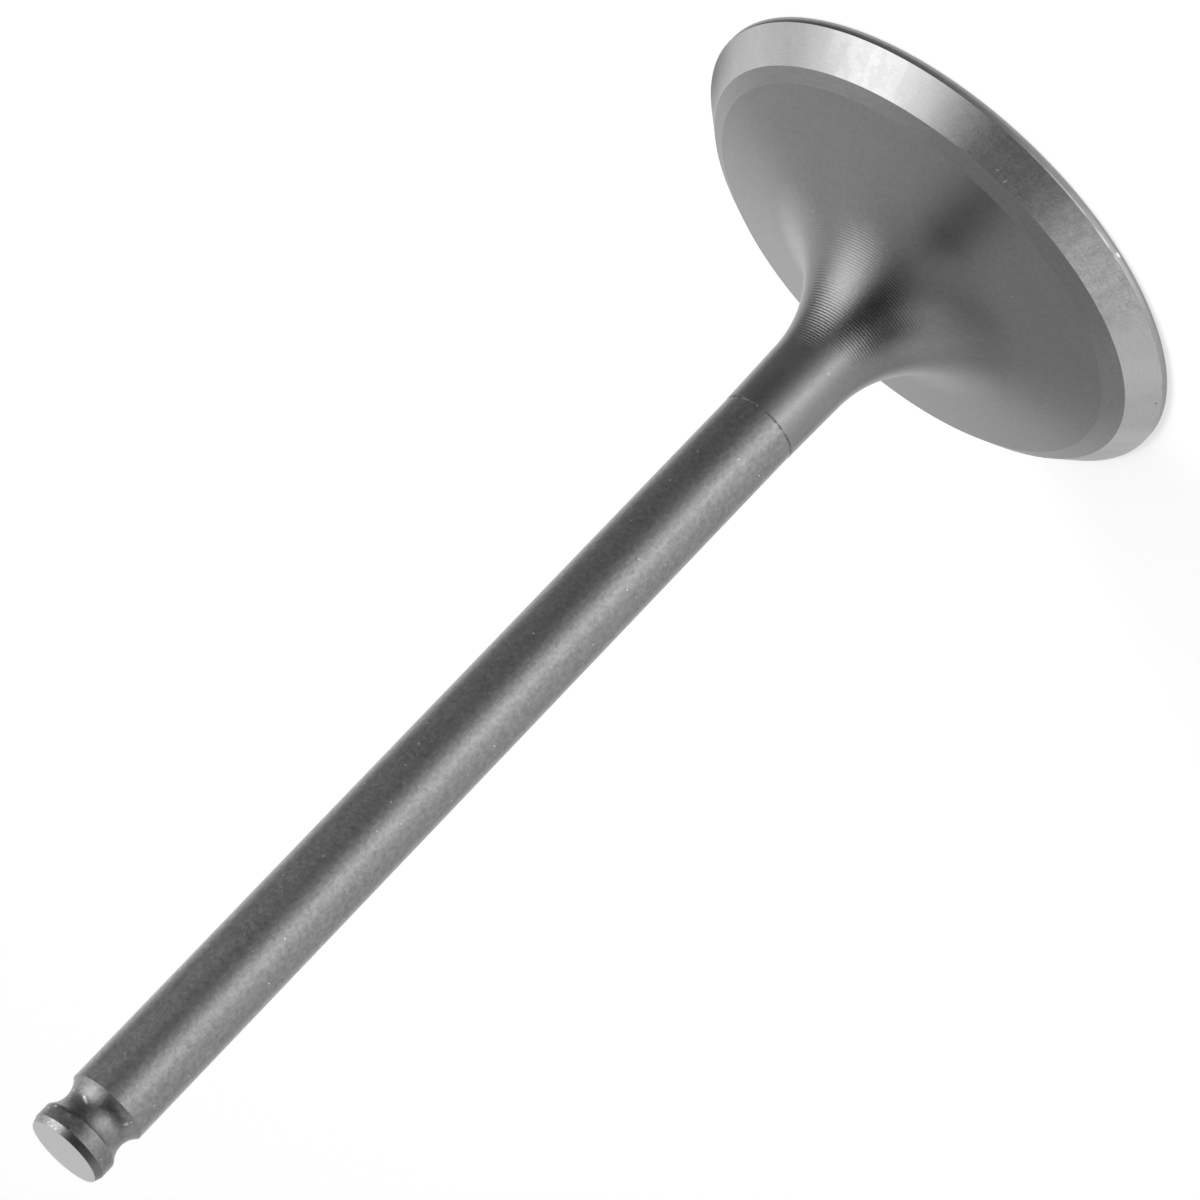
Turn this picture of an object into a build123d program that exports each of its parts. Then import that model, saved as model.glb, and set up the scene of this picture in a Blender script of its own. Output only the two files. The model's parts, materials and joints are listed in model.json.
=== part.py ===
from build123d import *
from math import cos, radians, sin, sqrt, tan
import os

# Intake valve of an engine with two valves per cylinder, turned and ground from one forging.
# Millimetres. The valve stands on its head: the origin is the centre of the flat combustion
# face, and +Z runs up the stem to the tip.

# ---- driving dimensions ----------------------------------------------------------------------

LENGTH = 108.9              # combustion face to tip face

# head
HEAD_D = 48.3               # outside of the margin
MARGIN_HEIGHT = 0.78        # plain band between the combustion face and the seat
FACE_CHAMFER = 0.15         # broken edge of the combustion face
SEAT_ANGLE = 45.0           # degrees from the plane of the face
SEAT_WIDTH = 3.32           # ground seat, along its cone
BACKCUT_ANGLE = 30.0        # degrees from the plane of the face
BACKCUT_WIDTH = 1.76        # relief cut inside the seat, along its cone
UNDERHEAD_ANGLE = 14.0      # degrees from the plane of the face
FILLET_R = 12.4             # sweep from the underhead into the neck

# neck and stem
STEM_D = 7.0                # ground stem
GRIND_ALLOWANCE = 0.035     # what grinding took off the stem, a side, and left on the neck
GRIND_RUNOUT = 0.25         # short ramp where the grinding runs out
NECK_TOP = 23.9             # end of the neck, above the combustion face
NECK_TAPER = 1.2            # degrees a side, wider towards the head

# keeper groove
GROOVE_R = 2.2              # round bottom of the groove
GROOVE_DEPTH = 0.62
GROOVE_FROM_TIP = 3.46      # deepest point of the groove, below the tip face
GROOVE_LIP_R = 0.4          # rounded edge of the groove on the tip side

# tip
TIP_BREAK_LENGTH = 0.64     # broken edge of the tip, along the stem
TIP_BREAK_DEPTH = 0.23      # broken edge of the tip, across the stem


def along(point, angle, distance):
    """The point a distance away, towards the axis and up at an angle from the plane of the face."""
    radius, height = point
    return radius - distance * cos(radians(angle)), height + distance * sin(radians(angle))


def underhead_corner(backcut_top, neck_top):
    """Where the underhead cone and the neck cone would meet if no fillet joined them."""
    rise = tan(radians(UNDERHEAD_ANGLE))
    spread = tan(radians(NECK_TAPER))
    cone_height = backcut_top[1] + backcut_top[0] * rise
    neck_radius = neck_top[0] + neck_top[1] * spread
    radius = (neck_radius - cone_height * spread) / (1 - rise * spread)
    return radius, cone_height - radius * rise


def section():
    """Half section of the valve, from its axis to its outside, before the groove is cut."""
    seat_outer = (HEAD_D / 2, MARGIN_HEIGHT)
    seat_inner = along(seat_outer, SEAT_ANGLE, SEAT_WIDTH)
    backcut_top = along(seat_inner, BACKCUT_ANGLE, BACKCUT_WIDTH)
    neck_top = (STEM_D / 2 + GRIND_ALLOWANCE, NECK_TOP)
    corner = underhead_corner(backcut_top, neck_top)
    with BuildSketch(Plane.XZ) as half:
        with BuildLine():
            Polyline(
                (0, 0),
                (HEAD_D / 2 - FACE_CHAMFER, 0),
                (HEAD_D / 2, FACE_CHAMFER),
                seat_outer,
                seat_inner,
                backcut_top,
            )
            FilletPolyline(backcut_top, corner, neck_top, radius=FILLET_R)
            Polyline(
                neck_top,
                (STEM_D / 2, NECK_TOP + GRIND_RUNOUT),
                (STEM_D / 2, LENGTH - TIP_BREAK_LENGTH),
                (STEM_D / 2 - TIP_BREAK_DEPTH, LENGTH),
                (0, LENGTH),
                (0, 0),
            )
        make_face()
        keeper_groove()
    return half.sketch


def keeper_groove():
    """Take the round keeper groove out of the half section: sharp shoulder, rounded lip."""
    groove_z = LENGTH - GROOVE_FROM_TIP
    half_width = sqrt(GROOVE_R**2 - (GROOVE_R - GROOVE_DEPTH) ** 2)
    with Locations((STEM_D / 2 - GROOVE_DEPTH + GROOVE_R, groove_z)):
        Circle(GROOVE_R, mode=Mode.SUBTRACT)
    lip = (STEM_D / 2, groove_z + half_width)
    fillet(vertices().sort_by_distance(lip)[0], GROOVE_LIP_R)


def engine_valve():
    """The whole valve: its half section turned once round the stem's axis."""
    return revolve(section(), axis=Axis.Z, revolution_arc=360)


os.makedirs("parts", exist_ok=True)
export_step(engine_valve(), "parts/engine_valve.step")
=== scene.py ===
import json
import math

import bpy
from mathutils import Matrix, Vector


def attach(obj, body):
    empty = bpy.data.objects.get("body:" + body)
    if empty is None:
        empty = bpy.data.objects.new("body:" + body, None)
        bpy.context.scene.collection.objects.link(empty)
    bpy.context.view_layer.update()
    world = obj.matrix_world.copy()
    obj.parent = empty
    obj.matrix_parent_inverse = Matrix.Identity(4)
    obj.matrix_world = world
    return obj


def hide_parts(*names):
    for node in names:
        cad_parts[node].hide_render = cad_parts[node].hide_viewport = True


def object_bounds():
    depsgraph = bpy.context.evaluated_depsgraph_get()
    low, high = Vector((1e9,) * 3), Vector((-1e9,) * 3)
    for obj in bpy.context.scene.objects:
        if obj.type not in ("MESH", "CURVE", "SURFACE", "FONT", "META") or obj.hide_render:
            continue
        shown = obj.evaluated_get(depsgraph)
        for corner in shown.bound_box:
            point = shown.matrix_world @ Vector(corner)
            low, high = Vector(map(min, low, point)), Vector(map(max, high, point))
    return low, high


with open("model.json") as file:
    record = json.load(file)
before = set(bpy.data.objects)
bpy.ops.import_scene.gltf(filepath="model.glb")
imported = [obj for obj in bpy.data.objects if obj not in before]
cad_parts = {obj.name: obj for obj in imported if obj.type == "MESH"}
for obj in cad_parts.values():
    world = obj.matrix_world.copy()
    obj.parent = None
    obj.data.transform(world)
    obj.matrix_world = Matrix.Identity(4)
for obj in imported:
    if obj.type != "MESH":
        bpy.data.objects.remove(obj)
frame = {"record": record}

# An engine valve that stands on its head. The CAD solid's coarse mesh is replaced by a fine turned
# mesh of the same section, with a finish for each machined band, and the bare metal mirrors a
# stage of studio cards.

CAD_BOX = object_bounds()
MM = 0.001

# ---- sizes of the valve, in millimetres and degrees, as in the CAD model but for GRIND_RUNOUT ----

MOUNTS = {mount["name"]: mount for mount in frame["record"]["mounts"]}
LENGTH = CAD_BOX[1].z / MM
HEAD_R = CAD_BOX[1].x / MM
STEM_R = MOUNTS["guide_stem"]["dims"]["r_mm"]

MARGIN_HEIGHT = 0.78
FACE_CHAMFER = 0.15
SEAT_ANGLE, SEAT_WIDTH = 45.0, 3.32
BACKCUT_ANGLE, BACKCUT_WIDTH = 30.0, 1.76
UNDERHEAD_ANGLE = 14.0
FILLET_R = 12.4
NECK_TOP, NECK_TAPER = 23.9, 1.2
GRIND_ALLOWANCE = 0.035
GRIND_RUNOUT = 0.16           # shorter than in the CAD model, so that the line reads as sharp
GROOVE_R, GROOVE_DEPTH, GROOVE_FROM_TIP, GROOVE_LIP_R = 2.2, 0.62, 3.46, 0.4
TIP_BREAK_LENGTH, TIP_BREAK_DEPTH = 0.64, 0.23

GROOVE_Z = LENGTH - GROOVE_FROM_TIP
GROOVE_HALF_WIDTH = math.sqrt(GROOVE_R**2 - (GROOVE_R - GROOVE_DEPTH) ** 2)

# ---- fineness of the mesh ------------------------------------------------------------------------

SEGMENTS = 156                # round the valve
STEPS_PER_MARK = 5            # along the outline, for each turning mark
# and along the other stretches of the outline
STEPS = {
    "face": 8, "chamfer": 2, "margin": 3, "seat": 12, "backcut": 8, "underhead": 16, "plain_sweep": 16,
    "runout": 3, "stem": 20, "groove": 22, "groove_lip": 6, "land": 4, "tip_break": 3,
}

EDGE_R = 0.035                # soft radius left on each machined edge
CORNER = 9.0                  # the outline's gentler turns, in degrees, aren't edges
EDGE_SHARE = 0.4              # an edge takes at most this share of the stretch beside it
SUPPORT = 0.02                # a point this far beyond each edge keeps the flat beside it flat,
SUPPORT_SHARE = 0.45          # within this share of the stretch

# ---- marks of making and use, and painted highlights and shade -----------------------------------

MARK_PITCH = 0.25             # feed of the turning tool along the fillet and the neck
MARK_DEPTH = 0.0075           # half the height of the marks that it leaves
MARKS_DEEPEST = 330.0         # azimuth of the side where they are deepest, in degrees from +X
MARKS_BEGIN = 6.3, 8.5        # heights between which the marks come in
MARKS_END = 19.0, 23.8        # heights between which they die out towards the stem
PLAIN_SWEEP = 12.0            # degrees of the fillet, next to the underhead, that hardly have any

# the seat was ground a little out of line with the forging, so its inner edge wanders
SEAT_EDGE_SHIFT = -0.1        # mm along the seat, on average
SEAT_EDGE_SWING = 0.4         # mm to either side
SEAT_EDGE_FAR = 312.0         # azimuth where the seat is widest, in degrees from +X

STEM_RELIEF = 0.04            # height of the fine grain on the stem and the groove
UNDERHEAD_RELIEF = 0.012      # and under the head

# where marks and painted highlights lie round the valve: from and to, in radians from -Y towards +X, and
# how far they fade
LIP_HIGHLIGHT_SPAN = -0.45, -0.08, 0.08       # the rim's lip is polished here, and lightened in colour as a painted highlight
DULL_SPAN = -0.65, 0.15, 0.2        # the seat is dull and mottled here
HIGHLIGHT_PATCH_SPAN = 0.5, 0.78, 0.12        # and has patchy grind here, lightened in colour where its highlight falls: a painted highlight
BRUISE_SPAN = 0.5, 1.5, 0.25        # the tip's edge is bruised here
STAIN_SPAN = 0.15, 0.65, 0.3        # the land is stained here
DARK_LINE_SPAN = -0.62, -0.05, 0.1    # and has a dark line here, just below the groove's lip

# and at what heights, in mm
LIP_HEIGHTS = 0.55, 0.66            # the lip comes in between these
NECK_GREY_HEIGHTS = 8, 20             # the neck's metal turns lighter between these
DARK_LINE_AT = 106.84
DARK_LINE_WIDTH = 0.04
STAIN_RISE = 0.3                    # the stain comes in below the dark line, over this height
RUNOUT_SHADE_FADE = 0.02                  # the painted shade on the line where the grinding ends, which dims that line's bright reflection, fades out over this height

# each nick: angle and height of its middle, half its length, half its width, degrees from level,
# and how much lighter it is
MARGIN_NICKS = [
    (-0.49, 0.36, 0.35, 0.14, 10, 0.4),
]
SEAT_NICKS = [
    (-0.03, 2.95, 0.22, 0.10, 50, 0.4),
    (0.02, 2.8, 0.16, 0.07, 20, 0.4),
    (-1.22, 1.10, 0.12, 0.10, 0, -0.3),
]
GROOVE_NICKS = [
    (0.6, 105.33, 0.56, 0.15, -27, 0.6),
    (-0.7, 104.49, 0.22, 0.17, 60, 0.3),
    (1.26, 105.0, 0.17, 0.1, 40, 0.5),
]
LAND_NICKS = [
    (1.0, 107.2, 0.3, 0.12, 0, 0.5),
    (1.2, 107.5, 0.14, 0.1, 0, 0.4),
]

# ---- metal: grey, roughness and anisotropy of each band ------------------------------------------

METAL = {
    "combustion_face": (0.32, 0.4, 0.5),
    "margin": (0.32, 0.38, 0.3),
    "seat": (0.49, 0.3, 0.5),
    "backcut": (0.255, 0.38, 0.4),
    "underhead": (0.225, 0.33, 0.4),
    "stem": (0.335, 0.35, 0.5),
    "groove": (0.28, 0.36, 0.3),
    "tip_break": (0.21, 0.4, 0.3),
    "tip_face": (0.55, 0.35, 0.0),
}
NECK_END_GREY = 0.33        # the underhead's metal where it is lightest, by the stem
QUARTER_TURN = 0.25           # the anisotropy's rotation, as a share of a full turn
NOISE_SPREAD = 0.25           # noise mostly keeps within this of its middle, 0.5
SPOT_CORE = 0.6               # a speck or nick is solid to this share of its radius, and then fades

# ---- camera: fitted to the photograph's outline --------------------------------------------------

PHOTO = 1200                # pixels a side
FOCAL = 6243.99             # pixels
FACE_AT = (938.62, 239.32)  # where the centre of the combustion face falls, in pixels
DISTANCE = 524.187          # camera to the plane of that centre, in mm
LEAN = 68.3064              # degrees between the stem and the line of sight
IMAGE_ANGLE = 133.766       # degrees of the stem in the picture, from +x towards down
SENSOR = 36.0               # width of the camera's sensor, in mm
VIEW_DEPTH = 20             # how far the camera sees, in metres

# ---- stage: metres and degrees, azimuths from +X. Levels are radiance, where 1 is white ----------

FLOOR_COLOUR = 0.7
FLOOR_GLOW = 0.54           # with the light on it the floor comes to white, and its shadows to pale grey
BACKDROP_GLOW = 0.65
FLOOR_DROP = 0.00002        # the floor lies this far below the combustion face, clear of it
FLOOR_RADII = 0.0005, 0.1, 0.4, 0.9
COVE_R, COVE_TOP = 0.4, 0.75
COVE_STEPS, FLOOR_SEGMENTS = 16, 96
WORLD = 0.4
KEY_AZIMUTH, KEY_ELEVATION = -19, 50
KEY_DISTANCE, KEY_SIZE, KEY_RADIANCE = 1.5, 0.8, 5.0
KEY_AIM = 0.05              # height of the point that the lamp is aimed at

# what the bare metal mirrors: a graded card on the table, and soft panels in a dark dome.
# The camera stands at azimuth -90

# radius and height
TABLE_PROFILE = [(0.0244, 0.0002), (0.1, 0.001), (0.3, 0.002), (0.45, 0.01), (0.6, 0.05), (0.65, 0.1)]
# azimuth and level, eased between
TABLE_CARD = [
    (-240, 0.9), (-215, 0.55), (-195, 0.7), (-160, 0.82), (-142, 1.1), (-120, 1.7), (-96, 0.8), (-80, 0.42),
    (-60, 0.18), (-35, 0.07), (20, 0.2), (50, 0.88), (82, 1.3), (100, 0.9), (120, 0.9),
]
DOME_R = 0.85
DOME_FROM, DOME_TO, DOME_STEPS = 1, 89.9, 45
DOME_LEVEL = 0.005
CARD_SEGMENTS = 90
PANEL_EDGE = 0.45           # share of a panel's width and height over which each of its edges fades
# name, azimuth, elevation, width and height, level. A panel 720 wide goes right round
PANELS = [
    ("right_panel", -22, 27, 104, 96, 2.25),
    ("back_panel", 56, 41, 245, 83, 0.87),
    ("low_back_panel", 70, 14, 260, 26, 0.9),
    ("left_panel", 167, 30, 100, 60, 0.88),
    ("high_left_panel", -159, 52, 112, 28, 1.0),
    ("top_panel", 120, 90, 720, 90, 0.65),
]


def make_camera():
    """A camera on the -Y side that sees the valve as the photograph does."""
    lean, turn = math.radians(LEAN), math.radians(IMAGE_ANGLE)
    stem = Vector((math.sin(lean) * math.cos(turn), -math.sin(lean) * math.sin(turn), math.cos(lean)))
    across = math.hypot(stem.x, stem.y)
    level_right = Vector((1, 0, 0))
    level_up = Vector((0, stem.z, across))
    back = Vector((0, -across, stem.z))
    right = (level_right * stem.y + level_up * stem.x) / across
    up = (level_up * stem.y - level_right * stem.x) / across
    middle = PHOTO / 2
    face = right * (FACE_AT[0] - middle) + up * (middle - FACE_AT[1])
    place = back * DISTANCE - face * (DISTANCE / FOCAL)
    data = bpy.data.cameras.new("camera")
    data.lens = FOCAL / PHOTO * SENSOR
    data.sensor_width = SENSOR
    data.clip_end = VIEW_DEPTH
    camera = bpy.data.objects.new("camera", data)
    camera.matrix_world = Matrix.Translation(place * MM) @ Matrix((right, up, back)).transposed().to_4x4()
    bpy.context.scene.collection.objects.link(camera)
    bpy.context.scene.camera = camera


# ---- the valve's outline -------------------------------------------------------------------------


def line(start, end, steps):
    """Points of a straight stretch, both ends included."""
    return [
        (start[0] + (end[0] - start[0]) * i / steps, start[1] + (end[1] - start[1]) * i / steps)
        for i in range(steps + 1)
    ]


def arc(centre, radius, start, end, steps):
    """Points of an arc from one angle to another, in degrees, both ends included."""
    angles = [math.radians(start + (end - start) * i / steps) for i in range(steps + 1)]
    return [(centre[0] + radius * math.cos(a), centre[1] + radius * math.sin(a)) for a in angles]


def smooth(x):
    """Eases from 0 to 1 as x goes from 0 to 1."""
    x = min(max(x, 0), 1)
    return x * x * (3 - 2 * x)


def along(point, angle, distance):
    """The point a distance away, towards the axis and up at an angle from the plane of the face."""
    a = math.radians(angle)
    return point[0] - distance * math.cos(a), point[1] + distance * math.sin(a)


def seat_corners():
    """The outer and inner edge of the seat, and the inner edge of the back-cut."""
    seat_outer = (HEAD_R, MARGIN_HEIGHT)
    seat_inner = along(seat_outer, SEAT_ANGLE, SEAT_WIDTH)
    return seat_outer, seat_inner, along(seat_inner, BACKCUT_ANGLE, BACKCUT_WIDTH)


def fillet_centre(backcut_top, neck_top):
    """Centre of the fillet that touches both the underhead cone and the neck cone."""
    b, t = math.radians(UNDERHEAD_ANGLE), math.radians(NECK_TAPER)
    neck_side = FILLET_R + neck_top[0] * math.cos(t) + neck_top[1] * math.sin(t)
    head_side = FILLET_R + backcut_top[1] * math.cos(b) + backcut_top[0] * math.sin(b)
    scale = math.cos(t) * math.cos(b) - math.sin(t) * math.sin(b)
    radius = (neck_side * math.cos(b) - head_side * math.sin(t)) / scale
    height = (head_side * math.cos(t) - neck_side * math.sin(b)) / scale
    return radius, height


def head_bands():
    """Combustion face, chamfer, margin, seat and back-cut."""
    seat_outer, seat_inner, backcut_top = seat_corners()
    face_end = (HEAD_R - FACE_CHAMFER, 0)
    margin_start = (HEAD_R, FACE_CHAMFER)
    return [
        ("combustion_face", line((0, 0), face_end, STEPS["face"])),
        ("margin", line(face_end, margin_start, STEPS["chamfer"])),
        ("margin", line(margin_start, seat_outer, STEPS["margin"])),
        ("seat", line(seat_outer, seat_inner, STEPS["seat"])),
        ("backcut", line(seat_inner, backcut_top, STEPS["backcut"])),
    ]


def sweep_bands(neck_top):
    """Underhead cone, fillet and neck, with steps fine enough for the turning marks."""
    backcut_top = seat_corners()[2]
    centre = fillet_centre(backcut_top, neck_top)
    start, end = 270 - UNDERHEAD_ANGLE, 180 + NECK_TAPER
    plain_end = start - PLAIN_SWEEP
    step = MARK_PITCH / STEPS_PER_MARK
    fine_steps = round(math.radians(plain_end - end) * FILLET_R / step)
    plain_sweep = arc(centre, FILLET_R, start, plain_end, STEPS["plain_sweep"])
    fine_sweep = arc(centre, FILLET_R, plain_end, end, fine_steps)
    neck_start = fine_sweep[-1]
    return [
        ("underhead", line(backcut_top, plain_sweep[0], STEPS["underhead"])),
        ("underhead", plain_sweep),
        ("underhead", fine_sweep),
        ("underhead", line(neck_start, neck_top, round((NECK_TOP - neck_start[1]) / step))),
    ]


def stem_bands(neck_top):
    """End of the grinding and the ground stem, up to the groove."""
    ground = (STEM_R, NECK_TOP + GRIND_RUNOUT)
    shoulder = (STEM_R, GROOVE_Z - GROOVE_HALF_WIDTH)
    return [
        ("stem", line(neck_top, ground, STEPS["runout"])),
        ("stem", line(ground, shoulder, STEPS["stem"])),
    ]


def tip_bands():
    """Keeper groove, its rounded lip, the land, and the tip with its broken edge."""
    middle_r = STEM_R - GROOVE_DEPTH + GROOVE_R
    lip_r = STEM_R - GROOVE_LIP_R
    lip_z = GROOVE_Z + math.sqrt((GROOVE_R + GROOVE_LIP_R) ** 2 - (middle_r - lip_r) ** 2)
    shoulder = 180 + math.degrees(math.asin(GROOVE_HALF_WIDTH / GROOVE_R))
    meet = math.degrees(math.atan2(lip_z - GROOVE_Z, lip_r - middle_r))
    land_end = (STEM_R, LENGTH - TIP_BREAK_LENGTH)
    face_edge = (STEM_R - TIP_BREAK_DEPTH, LENGTH)
    return [
        ("groove", arc((middle_r, GROOVE_Z), GROOVE_R, shoulder, meet, STEPS["groove"])),
        ("groove", arc((lip_r, lip_z), GROOVE_LIP_R, meet - 180, 0, STEPS["groove_lip"])),
        ("groove", line((STEM_R, lip_z), land_end, STEPS["land"])),
        ("tip_break", line(land_end, face_edge, STEPS["tip_break"])),
        ("tip_face", line(face_edge, (0, LENGTH), STEPS["face"])),
    ]


def outline():
    """The valve's half outline, face to tip: its points, and the band of each step between them."""
    neck_top = (STEM_R + GRIND_ALLOWANCE, NECK_TOP)
    points, bands = [(0.0, 0.0)], []
    for band, stretch in head_bands() + sweep_bands(neck_top) + stem_bands(neck_top) + tip_bands():
        points += stretch[1:]
        bands += [band] * (len(stretch) - 1)
    return points, bands


def soften(points, bands):
    """Rounds each sharp corner of the outline by EDGE_R and adds support points beside it."""
    out, kinds = [points[0]], []
    for i in range(1, len(points) - 1):
        before, here, after = (Vector(points[k]) for k in (i - 1, i, i + 1))
        a, b = here - before, after - here
        turn = a.angle(b)
        if turn < math.radians(CORNER):
            out.append(points[i])
            kinds.append(bands[i - 1])
            continue
        cut = min(EDGE_R * math.tan(turn / 2), a.length * EDGE_SHARE, b.length * EDGE_SHARE)
        first, last = here - a.normalized() * cut, here + b.normalized() * cut
        reach_a = min(cut + SUPPORT, a.length * SUPPORT_SHARE)
        reach_b = min(cut + SUPPORT, b.length * SUPPORT_SHARE)
        middle = (first + last) / 4 + here / 2
        out += [tuple(here - a.normalized() * reach_a), tuple(first), tuple(middle)]
        out += [tuple(last), tuple(here + b.normalized() * reach_b)]
        kinds += [bands[i - 1]] * 3 + [bands[i]] * 2
    out.append(points[-1])
    kinds.append(bands[-1])
    return out, kinds


def turning_marks(points):
    """How far the fine marks of the turning tool push out each point of the outline."""
    pushes, travel = [(0.0, 0.0)], 0.0
    for before, here, after in zip(points, points[1:], points[2:]):
        travel += math.dist(before, here)
        begin = smooth((here[1] - MARKS_BEGIN[0]) / (MARKS_BEGIN[1] - MARKS_BEGIN[0]))
        end = smooth((MARKS_END[1] - here[1]) / (MARKS_END[1] - MARKS_END[0]))
        push = MARK_DEPTH * begin * end * math.cos(2 * math.pi * travel / MARK_PITCH)
        run = math.dist(before, after)
        pushes.append((push * (after[1] - before[1]) / run, push * (before[0] - after[0]) / run))
    return pushes + [(0.0, 0.0)]


def seat_edge_shift(radius, height, angle):
    """How far a point slides along the seat, in mm.

    It is most at the seat's inner edge, and nothing at its outer edge and beyond the back-cut.
    """
    _, seat_inner, backcut_top = seat_corners()
    if height < MARGIN_HEIGHT or radius < backcut_top[0]:
        return 0.0
    on_seat = (HEAD_R - radius) / (HEAD_R - seat_inner[0])
    on_backcut = (radius - backcut_top[0]) / (seat_inner[0] - backcut_top[0])
    far = math.cos(angle - math.radians(SEAT_EDGE_FAR))
    return min(on_seat, on_backcut) * (SEAT_EDGE_SHIFT + SEAT_EDGE_SWING * far)


def make_valve(materials):
    """The valve as one fine turned mesh, with a finish for each machined band."""
    points, bands = soften(*outline())
    rings = list(zip(points, turning_marks(points)))[1:-1]
    verts, faces, slots = [], [], []
    names = list(materials)
    for (radius, height), push in rings:
        for k in range(SEGMENTS):
            a = 2 * math.pi * k / SEGMENTS
            share = (1 + math.cos(a - math.radians(MARKS_DEEPEST))) / 2
            place = radius + share * push[0], height + share * push[1]
            r, z = along(place, SEAT_ANGLE, seat_edge_shift(radius, height, a))
            verts.append((r * MM * math.cos(a), r * MM * math.sin(a), z * MM))
    bottom, top = len(verts), len(verts) + 1
    verts += [(0, 0, 0), (0, 0, LENGTH * MM)]
    last_ring = (len(rings) - 1) * SEGMENTS
    for k in range(SEGMENTS):
        n = (k + 1) % SEGMENTS
        faces.append((bottom, n, k))
        for i in range(len(rings) - 1):
            low, high = i * SEGMENTS, (i + 1) * SEGMENTS
            faces.append((low + k, low + n, high + n, high + k))
        faces.append((last_ring + k, last_ring + n, top))
        slots += [names.index(band) for band in bands]
    mesh = bpy.data.meshes.new("engine_valve_skin")
    mesh.from_pydata(verts, [], faces)
    for name in names:
        mesh.materials.append(materials[name])
    mesh.polygons.foreach_set("material_index", slots)
    mesh.polygons.foreach_set("use_smooth", [True] * len(faces))
    mesh.update()
    valve = bpy.data.objects.new("engine_valve_skin", mesh)
    bpy.context.scene.collection.objects.link(valve)
    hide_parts("engine_valve")
    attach(valve, "root")


# ---- finishes ------------------------------------------------------------------------------------


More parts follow.
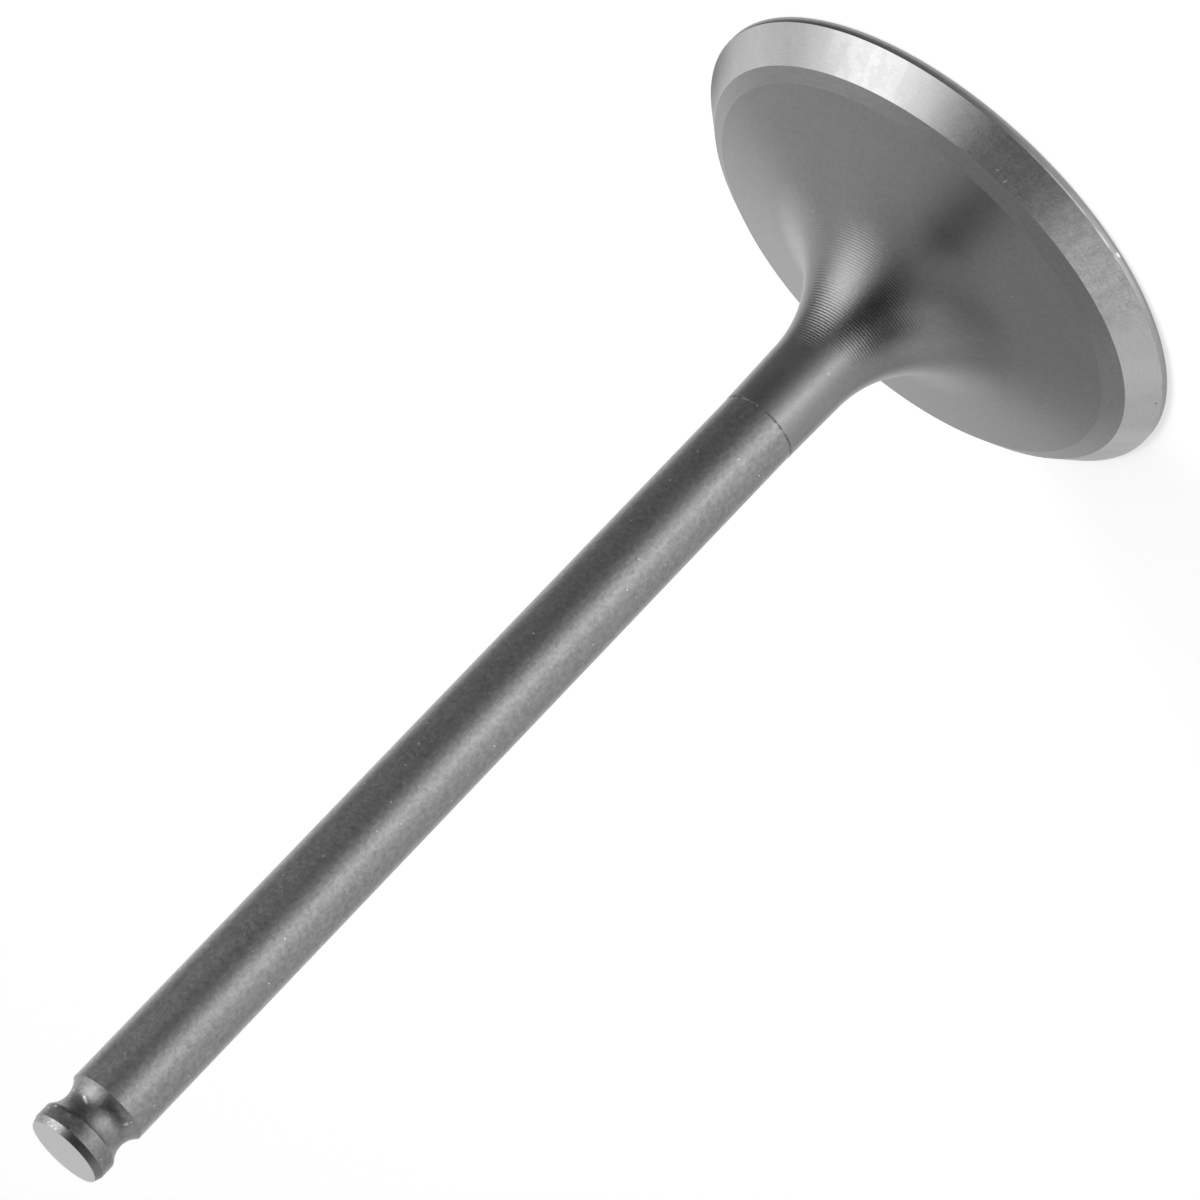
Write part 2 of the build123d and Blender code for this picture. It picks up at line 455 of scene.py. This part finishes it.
class Recipe:
    """Builds the nodes of one band's metal, with coordinates that run round the valve."""

    def __init__(self, name):
        self.grey, self.roughness, self.anisotropy = METAL[name]
        self.material = bpy.data.materials.new(name)
        self.material.use_nodes = True
        self.nodes = self.material.node_tree.nodes
        self.links = self.material.node_tree.links
        self.shader = self.nodes["Principled BSDF"]
        place = self.nodes.new("ShaderNodeTexCoord")
        in_mm = self.nodes.new("ShaderNodeVectorMath")
        in_mm.operation = "SCALE"
        in_mm.inputs["Scale"].default_value = 1 / MM
        self.links.new(place.outputs["Object"], in_mm.inputs[0])
        self.place = in_mm.outputs[0]
        split = self.nodes.new("ShaderNodeSeparateXYZ")
        self.links.new(self.place, split.inputs[0])
        x, y, self.height = split.outputs
        # the seam of the angle lies on the far side, at +Y
        self.angle = self.math("ARCTAN2", x, self.math("MULTIPLY", y, -1))
        self.radius = self.hypot(x, y)

    def math(self, operation, *values):
        """A Math node's result; values may be numbers or sockets."""
        node = self.nodes.new("ShaderNodeMath")
        node.operation = operation
        for socket, value in zip(node.inputs, values):
            if isinstance(value, (int, float)):
                socket.default_value = value
            else:
                self.links.new(value, socket)
        return node.outputs[0]

    def hypot(self, a, b):
        """Square root of the sum of the squares of two sockets."""
        squares = self.math("ADD", self.math("MULTIPLY", a, a), self.math("MULTIPLY", b, b))
        return self.math("SQRT", squares)

    def product(self, first, *others):
        """All the sockets multiplied together."""
        for other in others:
            first = self.math("MULTIPLY", first, other)
        return first

    def ease(self, value, start, end, low=0.0, high=1.0):
        """Eases from low to high as value goes from start to end."""
        node = self.nodes.new("ShaderNodeMapRange")
        node.interpolation_type = "SMOOTHSTEP"
        for name, number in (("From Min", start), ("From Max", end), ("To Min", low), ("To Max", high)):
            node.inputs[name].default_value = number
        self.links.new(value, node.inputs["Value"])
        return node.outputs["Result"]

    def window(self, value, start, end, fade):
        """1 between start and end, fading to 0 outside them."""
        rise = self.ease(value, start - fade, start)
        return self.product(rise, self.ease(value, end, end + fade, 1.0, 0.0))

    def texture(self, place, scale, detail, roughness):
        """A noise texture over the place."""
        node = self.nodes.new("ShaderNodeTexNoise")
        node.inputs["Scale"].default_value = scale
        node.inputs["Detail"].default_value = detail
        node.inputs["Roughness"].default_value = roughness
        self.links.new(place, node.inputs["Vector"])
        return node.outputs["Fac"]

    def noise(self, around=0.0, across=0.0, up=0.0, detail=2, roughness=0.5):
        """Noise with that many features for a radian, a mm of radius and a mm of height."""
        join = self.nodes.new("ShaderNodeCombineXYZ")
        self.links.new(self.math("MULTIPLY", self.angle, around), join.inputs[0])
        self.links.new(self.math("MULTIPLY", self.radius, across), join.inputs[1])
        self.links.new(self.math("MULTIPLY", self.height, up), join.inputs[2])
        return self.texture(join.outputs[0], 1, detail, roughness)

    def grain(self, per_mm):
        """Fine even noise with that many features for a mm, whichever way the surface runs."""
        return self.texture(self.place, per_mm, detail=4, roughness=0.7)

    def varied(self, value, *parts):
        """The number with parts (noise, share) added: a share of 0.1 is about 10% either way."""
        total = value
        for noise, share in parts:
            swing = self.math("SUBTRACT", noise, 0.5)
            total = self.math("ADD", total, self.math("MULTIPLY", swing, value * share / NOISE_SPREAD))
        return total

    def lifted(self, value, *parts):
        """The value with parts (mask, amount) added: each gives its amount where its mask is 1."""
        for mask, amount in parts:
            value = self.math("ADD", value, self.math("MULTIPLY", mask, amount))
        return value

    def specks(self, spacing, size, shift=0.0):
        """Sparse round specks of dust: their spacing and radius, and a shift of the pattern, in mm."""
        moved = self.nodes.new("ShaderNodeVectorMath")
        self.links.new(self.place, moved.inputs[0])
        moved.inputs[1].default_value = (shift, shift, shift)
        node = self.nodes.new("ShaderNodeTexVoronoi")
        node.inputs["Scale"].default_value = 1 / spacing
        self.links.new(moved.outputs[0], node.inputs["Vector"])
        edge = size / spacing
        return self.ease(node.outputs["Distance"], edge * SPOT_CORE, edge, 1.0, 0.0)

    def spot(self, angle, height, length, width, tilt, radius):
        """An elongated spot on the surface at that radius."""
        across = self.math("MULTIPLY", self.math("SUBTRACT", self.angle, angle), radius)
        rise = self.math("SUBTRACT", self.height, height)
        c, s = math.cos(math.radians(tilt)), math.sin(math.radians(tilt))
        run = self.math("ADD", self.math("MULTIPLY", across, c), self.math("MULTIPLY", rise, s))
        side = self.math("SUBTRACT", self.math("MULTIPLY", rise, c), self.math("MULTIPLY", across, s))
        far = self.hypot(self.math("DIVIDE", run, length), self.math("DIVIDE", side, width))
        return self.ease(far, SPOT_CORE, 1.0, 1.0, 0.0)

    def nicked(self, colour, nicks, radius):
        """The colour with small nicks in the surface at that radius."""
        return self.lifted(colour, *[(self.spot(*place, radius), lighter) for *place, lighter in nicks])

    def relief(self, noise, depth):
        """Raises and sinks the surface a little with the noise: its whole range is that depth in mm."""
        bump = self.nodes.new("ShaderNodeBump")
        bump.inputs["Distance"].default_value = depth * MM
        self.links.new(noise, bump.inputs["Height"])
        self.links.new(bump.outputs[0], self.shader.inputs["Normal"])

    def finish(self, colour, roughness=None):
        """The finished metal, of that grey. A socket may take the place of its plain roughness."""
        shader = self.shader
        grey = self.nodes.new("ShaderNodeCombineXYZ")
        for socket in grey.inputs:
            self.links.new(colour, socket)
        self.links.new(grey.outputs[0], shader.inputs["Base Color"])
        shader.inputs["Roughness"].default_value = self.roughness
        if roughness is not None:
            self.links.new(roughness, shader.inputs["Roughness"])
        shader.inputs["Metallic"].default_value = 1
        shader.inputs["Anisotropic"].default_value = self.anisotropy
        shader.inputs["Anisotropic Rotation"].default_value = QUARTER_TURN
        tangent = self.nodes.new("ShaderNodeTangent")
        tangent.direction_type = "RADIAL"
        tangent.axis = "Z"
        self.links.new(tangent.outputs[0], shader.inputs["Tangent"])
        return self.material


def make_combustion_face():
    """Combustion face: turned, with faint rings."""
    r = Recipe("combustion_face")
    rings = r.noise(around=0.5, across=5)
    return r.finish(r.varied(r.grey, (rings, 0.05)))


def make_margin():
    """Rim of the head, with a polished lip next to the seat on one side, lightened there as a painted
    highlight.
    """
    r = Recipe("margin")
    lip_patchiness = r.ease(r.noise(around=14, up=1), 0.3, 0.55)
    # the lip is smoother, and lighter in colour: a painted highlight where the rim mirrors the bright card
    lip = r.product(r.window(r.angle, *LIP_HIGHLIGHT_SPAN), r.ease(r.height, *LIP_HEIGHTS), lip_patchiness)
    upright = r.noise(around=24, up=2)
    level = r.noise(around=6, up=12)
    colour = r.lifted(r.varied(r.grey, (upright, 0.06), (level, 0.06)), (lip, 0.16))
    colour = r.nicked(colour, MARGIN_NICKS, HEAD_R)
    return r.finish(colour, r.lifted(r.roughness, (lip, -0.14)))


def make_seat():
    """Ground seat: short fine streaks round it, patchy grind lightened into a painted highlight where the
    seat's highlight falls, and a dull stretch.
    """
    r = Recipe("seat")
    grit = r.noise(around=110, up=5, detail=3, roughness=0.7)
    streaks = r.noise(around=20, up=12, detail=3, roughness=0.6)
    broad = r.noise(around=9, up=0.2)
    clouds = r.noise(around=22, up=1.2, detail=4, roughness=0.7)
    blotches = r.ease(r.noise(around=16, up=0.5, detail=5, roughness=0.7), 0.5, 0.53)
    # patches of the grind, lighter in colour only where the seat's highlight falls: a painted highlight
    highlight_patches = r.product(blotches, r.window(r.angle, *HIGHLIGHT_PATCH_SPAN))
    # both noises lie round 0.5, so this lies round 0
    mottle = r.math("SUBTRACT", r.math("ADD", grit, clouds), 1)
    dull = r.product(r.window(r.angle, *DULL_SPAN), mottle)
    colour = r.varied(r.grey, (grit, 0.06), (streaks, 0.09), (broad, 0.05))
    colour = r.lifted(colour, (dull, 0.4), (highlight_patches, 0.04))
    colour = r.nicked(colour, SEAT_NICKS, HEAD_R)
    return r.finish(colour, r.varied(r.roughness, (grit, 0.06)))


def make_backcut():
    """Back-cut inside the seat: darker, with a fine grain."""
    r = Recipe("backcut")
    fine = r.noise(around=60, across=3, up=3, detail=3)
    cloud = r.noise(around=5, across=8, up=8)
    return r.finish(r.varied(r.grey, (fine, 0.08), (cloud, 0.04)))


def make_underhead():
    """Satin underhead, fillet and neck, darker near the head and lighter towards the stem."""
    r = Recipe("underhead")
    cloud = r.noise(around=2, across=0.25, up=0.25, detail=3)
    fine = r.grain(per_mm=2.2)
    r.relief(fine, UNDERHEAD_RELIEF)
    # the grey rises from darker near the head to lighter towards the stem
    plain = r.ease(r.height, *NECK_GREY_HEIGHTS, r.grey, NECK_END_GREY)
    swing = r.lifted(r.varied(1.0, (cloud, 0.03), (fine, 0.1)), (r.specks(spacing=2.2, size=0.08), 1.0))
    return r.finish(r.product(plain, swing))


def make_stem():
    """Ground stem: satin, with a fine grain, a little dust, and painted shade on the line where the
    grinding ends, dimming its reflection.
    """
    r = Recipe("stem")
    cloud = r.noise(around=1.5, up=0.25, detail=3)
    streaks = r.noise(around=1.5, up=6)
    fine = r.grain(per_mm=2.3)
    r.relief(fine, STEM_RELIEF)
    colour = r.varied(r.grey, (cloud, 0.04), (fine, 0.28), (streaks, 0.04))
    # painted shade, broken up, that dims the bright reflection of the step where the grinding ends
    broken = r.ease(r.noise(around=3), 0.4, 0.55)
    runout = r.product(broken, r.window(r.height, NECK_TOP, NECK_TOP + GRIND_RUNOUT, RUNOUT_SHADE_FADE))
    return r.finish(r.lifted(colour, (r.specks(spacing=1.3, size=0.08), 0.8), (runout, -0.16)))


def make_groove():
    """Keeper groove and the land above it, with marks from the keepers, and a dark line on one side just
    below the groove's lip.
    """
    r = Recipe("groove")
    cloud = r.noise(around=2.5, up=1.5, detail=3, roughness=0.6)
    fine = r.grain(per_mm=2.8)
    r.relief(fine, STEM_RELIEF)
    # a dark line on one side, just below the groove's lip
    dark_line = r.product(
        r.window(r.angle, *DARK_LINE_SPAN),
        r.window(r.height, DARK_LINE_AT, DARK_LINE_AT + DARK_LINE_WIDTH, DARK_LINE_WIDTH),
    )
    stain = r.product(
        r.window(r.angle, *STAIN_SPAN),
        r.ease(r.height, DARK_LINE_AT - STAIN_RISE, DARK_LINE_AT),
        r.ease(r.noise(around=7, up=2.5, detail=3, roughness=0.6), 0.35, 0.6),
    )
    dust = r.specks(spacing=1.1, size=0.08, shift=3.0)
    colour = r.varied(r.grey, (cloud, 0.12), (fine, 0.22))
    colour = r.lifted(colour, (stain, -0.09), (dust, 0.45), (dark_line, -0.14))
    colour = r.nicked(colour, GROOVE_NICKS, STEM_R - GROOVE_DEPTH)
    return r.finish(r.nicked(colour, LAND_NICKS, STEM_R))


def make_tip_break():
    """Edge of the tip, bruised and bright on one side."""
    r = Recipe("tip_break")
    rough = r.noise(around=14, up=7, detail=3, roughness=0.7)
    bruise = r.product(r.window(r.angle, *BRUISE_SPAN), r.ease(rough, 0.35, 0.65, 0.25, 1.0))
    dust = r.specks(spacing=0.9, size=0.08, shift=1.0)
    return r.finish(r.lifted(r.varied(r.grey, (rough, 0.15)), (bruise, 0.22), (dust, 0.25)))


def make_tip_face():
    """Ground tip face, with a little dust."""
    r = Recipe("tip_face")
    cloud = r.noise(around=1.5, across=1, detail=3)
    dust = r.specks(spacing=1.3, size=0.07, shift=5.0)
    return r.finish(r.lifted(r.varied(r.grey, (cloud, 0.03)), (dust, 0.2)))


def make_finishes():
    """The metal of each band of the outline."""
    return {
        "combustion_face": make_combustion_face(),
        "margin": make_margin(),
        "seat": make_seat(),
        "backcut": make_backcut(),
        "underhead": make_underhead(),
        "stem": make_stem(),
        "groove": make_groove(),
        "tip_break": make_tip_break(),
        "tip_face": make_tip_face(),
    }


# ---- stage ---------------------------------------------------------------------------------------


def glowing_material(name):
    """A stage material with only an emission, which Cycles doesn't sample as a lamp."""
    material = bpy.data.materials.new(name)
    material.use_nodes = True
    material.cycles.emission_sampling = "NONE"
    nodes = material.node_tree.nodes
    nodes.clear()
    glow = nodes.new("ShaderNodeEmission")
    out = nodes.new("ShaderNodeOutputMaterial")
    material.node_tree.links.new(glow.outputs[0], out.inputs["Surface"])
    return material, glow, out


def make_white(name, shown):
    """Floor or backdrop: shows a plain glow to the camera and in reflections, and takes shadows."""
    material, glow, out = glowing_material(name)
    nodes, links = material.node_tree.nodes, material.node_tree.links
    path = nodes.new("ShaderNodeLightPath")
    seen = path.outputs["Is Camera Ray"]
    for ray in ("Is Glossy Ray", "Is Transmission Ray"):
        either = nodes.new("ShaderNodeMath")
        either.operation = "MAXIMUM"
        links.new(seen, either.inputs[0])
        links.new(path.outputs[ray], either.inputs[1])
        seen = either.outputs[0]
    strength = nodes.new("ShaderNodeMath")
    strength.operation = "MULTIPLY"
    links.new(seen, strength.inputs[0])
    strength.inputs[1].default_value = shown
    links.new(strength.outputs[0], glow.inputs["Strength"])
    matte = nodes.new("ShaderNodeBsdfDiffuse")
    matte.inputs["Color"].default_value = (FLOOR_COLOUR, FLOOR_COLOUR, FLOOR_COLOUR, 1)
    both = nodes.new("ShaderNodeAddShader")
    links.new(glow.outputs[0], both.inputs[0])
    links.new(matte.outputs[0], both.inputs[1])
    links.new(both.outputs[0], out.inputs["Surface"])
    return material


def turned_patch(name, profile, start, end, steps):
    """A stage surface: a profile of (radius, height) in metres, turned between two azimuths in degrees."""
    verts, faces = [], []
    for radius, height in profile:
        for k in range(steps + 1):
            a = math.radians(start + (end - start) * k / steps)
            verts.append((radius * math.cos(a), radius * math.sin(a), height))
    row = steps + 1
    for i in range(len(profile) - 1):
        for k in range(steps):
            a = i * row + k
            faces.append((a, a + row, a + row + 1, a + 1))
    mesh = bpy.data.meshes.new(name)
    mesh.from_pydata(verts, [], faces)
    patch = bpy.data.objects.new(name, mesh)
    bpy.context.scene.collection.objects.link(patch)
    return patch


def make_floor():
    """A wide pale floor under the valve, and the backdrop that it curves up into all round."""
    flat = [(radius, 0) for radius in FLOOR_RADII]
    cove_start = FLOOR_RADII[-1]
    cove = arc((cove_start, COVE_R), COVE_R, -90, 0, COVE_STEPS) + [(cove_start + COVE_R, COVE_TOP)]
    for name, profile, shown in [("floor", flat, FLOOR_GLOW), ("backdrop", cove, BACKDROP_GLOW)]:
        patch = turned_patch(name, profile, 0, 360, FLOOR_SEGMENTS)
        patch.location.z = -FLOOR_DROP
        patch.data.materials.append(make_white(name + "_white", shown))


def table_level(azimuth, _):
    """Level of the table card, the same from its inner to its outer edge."""
    for (a, low), (b, high) in zip(TABLE_CARD, TABLE_CARD[1:]):
        if azimuth <= b:
            return low + (high - low) * smooth((azimuth - a) / (b - a))
    return TABLE_CARD[-1][1]


def dome_level(azimuth, elevation):
    """Level of the dome: a dark ground with soft-edged panels."""
    level = DOME_LEVEL
    for _, middle, tilt, width, height, glow in PANELS:
        across = (azimuth - middle + 180) % 360 - 180
        side = smooth((0.5 - abs(across) / width) / PANEL_EDGE)
        level += glow * side * smooth((0.5 - abs(elevation - tilt) / height) / PANEL_EDGE)
    return level


def make_card(name, profile, level_at):
    """A studio card right round the valve that shows in reflections and nowhere else."""
    start = TABLE_CARD[0][0]
    card = turned_patch(name, profile, start, start + 360, CARD_SEGMENTS)
    level = card.data.attributes.new("level", "FLOAT", "POINT")
    for i, vertex in enumerate(card.data.vertices):
        azimuth = start + 360 * (i % (CARD_SEGMENTS + 1)) / CARD_SEGMENTS
        elevation = math.degrees(math.atan2(vertex.co.z, math.hypot(vertex.co.x, vertex.co.y)))
        level.data[i].value = level_at(azimuth, elevation)
    material, glow, _ = glowing_material(name)
    painted = material.node_tree.nodes.new("ShaderNodeAttribute")
    painted.attribute_name = "level"
    material.node_tree.links.new(painted.outputs["Fac"], glow.inputs["Strength"])
    card.data.materials.append(material)
    card.visible_camera = False
    card.visible_diffuse = False
    card.visible_shadow = False
    card.visible_transmission = False


def make_cards():
    """The graded card on the table and the dark dome with its soft panels."""
    make_card("table_card", TABLE_PROFILE, table_level)
    make_card("dome_card", arc((0, 0), DOME_R, DOME_FROM, DOME_TO, DOME_STEPS), dome_level)


def make_light():
    """An even grey world, and one soft lamp that lights the floor and casts the valve's shadow on it."""
    world = bpy.data.worlds.new("world")
    world.use_nodes = True
    world.node_tree.nodes["Background"].inputs["Color"].default_value = (WORLD, WORLD, WORLD, 1)
    bpy.context.scene.world = world
    data = bpy.data.lights.new("key_lamp", "AREA")
    data.shape = "SQUARE"
    data.size = KEY_SIZE
    data.energy = KEY_RADIANCE * math.pi * KEY_SIZE**2
    lamp = bpy.data.objects.new("key_lamp", data)
    a, e = math.radians(KEY_AZIMUTH), math.radians(KEY_ELEVATION)
    towards = Vector((math.cos(a) * math.cos(e), math.sin(a) * math.cos(e), math.sin(e)))
    lamp.location = Vector((0, 0, KEY_AIM)) + towards * KEY_DISTANCE
    lamp.rotation_mode = "QUATERNION"
    lamp.rotation_quaternion = towards.to_track_quat("Z", "Y")
    lamp.visible_camera = False
    lamp.visible_glossy = False
    bpy.context.scene.collection.objects.link(lamp)


def main():
    """Builds the whole scene."""
    bpy.context.scene.view_settings.view_transform = "Standard"
    make_camera()
    make_valve(make_finishes())
    make_floor()
    make_cards()
    make_light()


main()
